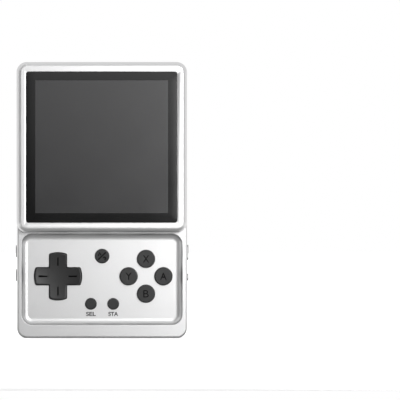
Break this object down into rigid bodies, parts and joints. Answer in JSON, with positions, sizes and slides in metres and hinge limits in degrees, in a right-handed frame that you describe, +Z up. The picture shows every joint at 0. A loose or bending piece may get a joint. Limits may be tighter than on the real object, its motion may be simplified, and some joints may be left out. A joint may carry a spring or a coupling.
{
  "type": "swivel-screen handheld game console",
  "caption": "Square silver handheld game console whose square screen panel swivels a quarter turn off the body, shown open above a sunk deck of black buttons.",
  "frame": {"origin": "on the surface the console stands on, under the middle of the body, at half the whole depth, with the screen open", "axes": "+X to the right as seen from the front, +Y from the screen to the back, +Z up"},
  "size_m": [0.0834, 0.0206, 0.133],
  "materials": {
    "silver_shell": "fine bead-blasted and clear anodised, satin",
    "screen_glass": "polished, printed black behind",
    "display": "dark, switched off",
    "lamp_tray": "white moulded",
    "gasket": "black adhesive foam",
    "button_black": "fine moulded texture, satin",
    "screw_steel": "nickel plated",
    "swivel_steel": "ground",
    "bush_bronze": "machined",
    "washer_nylon": "natural",
    "circuit_board": "solder mask",
    "ribbon": "amber film",
    "battery_wrap": "foil pouch",
    "speaker_black": "moulded with a paper cone",
    "gauze": "black woven gauze",
    "silicone": "translucent grey silicone",
    "socket_steel": "plated"
  },
  "bodies": {
    "body": {"front_shell": "silver_shell", "back_cover": "silver_shell", "swivel_bush": "bush_bronze", "thrust_washer": "washer_nylon", "wave_washer": "swivel_steel", "shell_screws": "screw_steel", "main_board": "circuit_board", "board_screws": "screw_steel", "board_ribbon": "ribbon", "battery": "battery_wrap", "speaker": "speaker_black", "speaker_gauze": "gauze", "shield_can": "socket_steel", "usb_socket": "socket_steel", "card_socket": "socket_steel", "face_button_pad": "silicone", "direction_switch_pad": "silicone", "menu_button_pad": "silicone", "shoulder_pins": "swivel_steel", "shoulder_boards": "circuit_board", "shoulder_switches": "speaker_black", "side_switches": "speaker_black"},
    "screen": {"screen_frame": "silver_shell", "screen_back_plate": "silver_shell", "cover_glass": "screen_glass", "glass_gasket": "gasket", "display_module": "display", "backlight_tray": "lamp_tray", "screen_screws": "screw_steel", "swivel_shaft": "swivel_steel", "swivel_bracket": "swivel_steel", "bracket_screws": "screw_steel", "stop_pin": "swivel_steel", "friction_disc": "swivel_steel", "retaining_ring": "swivel_steel", "display_ribbon": "ribbon"},
    "direction_pivot": {"direction_pad_pivot": "button_black"},
    "direction_pad": {"direction_pad": "button_black"},
    "button_a": {"button_a": "button_black"},
    "button_b": {"button_b": "button_black"},
    "button_x": {"button_x": "button_black"},
    "button_y": {"button_y": "button_black"},
    "function_button": {"function_button": "button_black"},
    "select_button": {"select_button": "button_black"},
    "start_button": {"start_button": "button_black"},
    "left_inner_shoulder_button": {"left_inner_shoulder_button": "button_black"},
    "right_inner_shoulder_button": {"right_inner_shoulder_button": "button_black"},
    "power_button": {"power_button": "silver_shell"},
    "reset_button": {"reset_button": "silver_shell"},
    "volume_up_button": {"volume_up_button": "silver_shell"},
    "volume_down_button": {"volume_down_button": "silver_shell"},
    "left_outer_shoulder_button": {"left_outer_shoulder_button": "button_black"},
    "right_outer_shoulder_button": {"right_outer_shoulder_button": "button_black"}
  },
  "joints": [
    {"name": "screen_swivel", "type": "hinge", "parent": "body", "child": "screen", "pos_m": [-0.0255, -0.0036, 0.0665], "axis": [0, 1, 0], "range_deg": [0, 90]},
    {"name": "direction_tilt_sideways", "type": "hinge", "parent": "body", "child": "direction_pivot", "pos_m": [-0.02125, 0.003, 0.0298], "axis": [0, 0, 1], "range_deg": [-3, 3], "stiffness_Nm_per_rad": 0.28, "deforming": ["direction_switch_pad"]},
    {"name": "direction_tilt_upright", "type": "hinge", "parent": "direction_pivot", "child": "direction_pad", "pos_m": [-0.02125, 0.003, 0.0298], "axis": [1, 0, 0], "range_deg": [-3, 3], "stiffness_Nm_per_rad": 0.28, "deforming": ["direction_switch_pad"]},
    {"name": "button_a_press", "type": "slide", "parent": "body", "child": "button_a", "axis": [0, 1, 0], "range_m": [0, 0.001], "stiffness_N_per_m": 400, "springref_m": -0.001, "deforming": ["face_button_pad"]},
    {"name": "button_b_press", "type": "slide", "parent": "body", "child": "button_b", "axis": [0, 1, 0], "range_m": [0, 0.001], "stiffness_N_per_m": 400, "springref_m": -0.001, "deforming": ["face_button_pad"]},
    {"name": "button_x_press", "type": "slide", "parent": "body", "child": "button_x", "axis": [0, 1, 0], "range_m": [0, 0.001], "stiffness_N_per_m": 400, "springref_m": -0.001, "deforming": ["face_button_pad"]},
    {"name": "button_y_press", "type": "slide", "parent": "body", "child": "button_y", "axis": [0, 1, 0], "range_m": [0, 0.001], "stiffness_N_per_m": 400, "springref_m": -0.001, "deforming": ["face_button_pad"]},
    {"name": "function_button_press", "type": "slide", "parent": "body", "child": "function_button", "axis": [0, 1, 0], "range_m": [0, 0.0007], "stiffness_N_per_m": 400, "springref_m": -0.001, "deforming": ["menu_button_pad"]},
    {"name": "select_button_press", "type": "slide", "parent": "body", "child": "select_button", "axis": [0, 1, 0], "range_m": [0, 0.0007], "stiffness_N_per_m": 400, "springref_m": -0.001, "deforming": ["menu_button_pad"]},
    {"name": "start_button_press", "type": "slide", "parent": "body", "child": "start_button", "axis": [0, 1, 0], "range_m": [0, 0.0007], "stiffness_N_per_m": 400, "springref_m": -0.001, "deforming": ["menu_button_pad"]},
    {"name": "left_inner_shoulder_button_press", "type": "slide", "parent": "body", "child": "left_inner_shoulder_button", "axis": [0, 0, -1], "range_m": [0, 0.0006], "stiffness_N_per_m": 400, "springref_m": -0.001},
    {"name": "right_inner_shoulder_button_press", "type": "slide", "parent": "body", "child": "right_inner_shoulder_button", "axis": [0, 0, -1], "range_m": [0, 0.0006], "stiffness_N_per_m": 400, "springref_m": -0.001},
    {"name": "power_button_press", "type": "slide", "parent": "body", "child": "power_button", "axis": [-1, 0, 0], "range_m": [0, 0.0004], "stiffness_N_per_m": 400, "springref_m": -0.001},
    {"name": "reset_button_press", "type": "slide", "parent": "body", "child": "reset_button", "axis": [-1, 0, 0], "range_m": [0, 0.0004], "stiffness_N_per_m": 400, "springref_m": -0.001},
    {"name": "volume_up_button_press", "type": "slide", "parent": "body", "child": "volume_up_button", "axis": [1, 0, 0], "range_m": [0, 0.0004], "stiffness_N_per_m": 400, "springref_m": -0.001},
    {"name": "volume_down_button_press", "type": "slide", "parent": "body", "child": "volume_down_button", "axis": [1, 0, 0], "range_m": [0, 0.0004], "stiffness_N_per_m": 400, "springref_m": -0.001},
    {"name": "left_outer_shoulder_button_press", "type": "hinge", "parent": "body", "child": "left_outer_shoulder_button", "pos_m": [-0.029, 0.004, 0.0805], "axis": [0, -1, 0], "range_deg": [0, 2.9], "stiffness_Nm_per_rad": 0.2, "springref_deg": -2.86},
    {"name": "right_outer_shoulder_button_press", "type": "hinge", "parent": "body", "child": "right_outer_shoulder_button", "pos_m": [0.029, 0.004, 0.0805], "axis": [0, 1, 0], "range_deg": [0, 2.9], "stiffness_Nm_per_rad": 0.2, "springref_deg": -2.86}
  ]
}
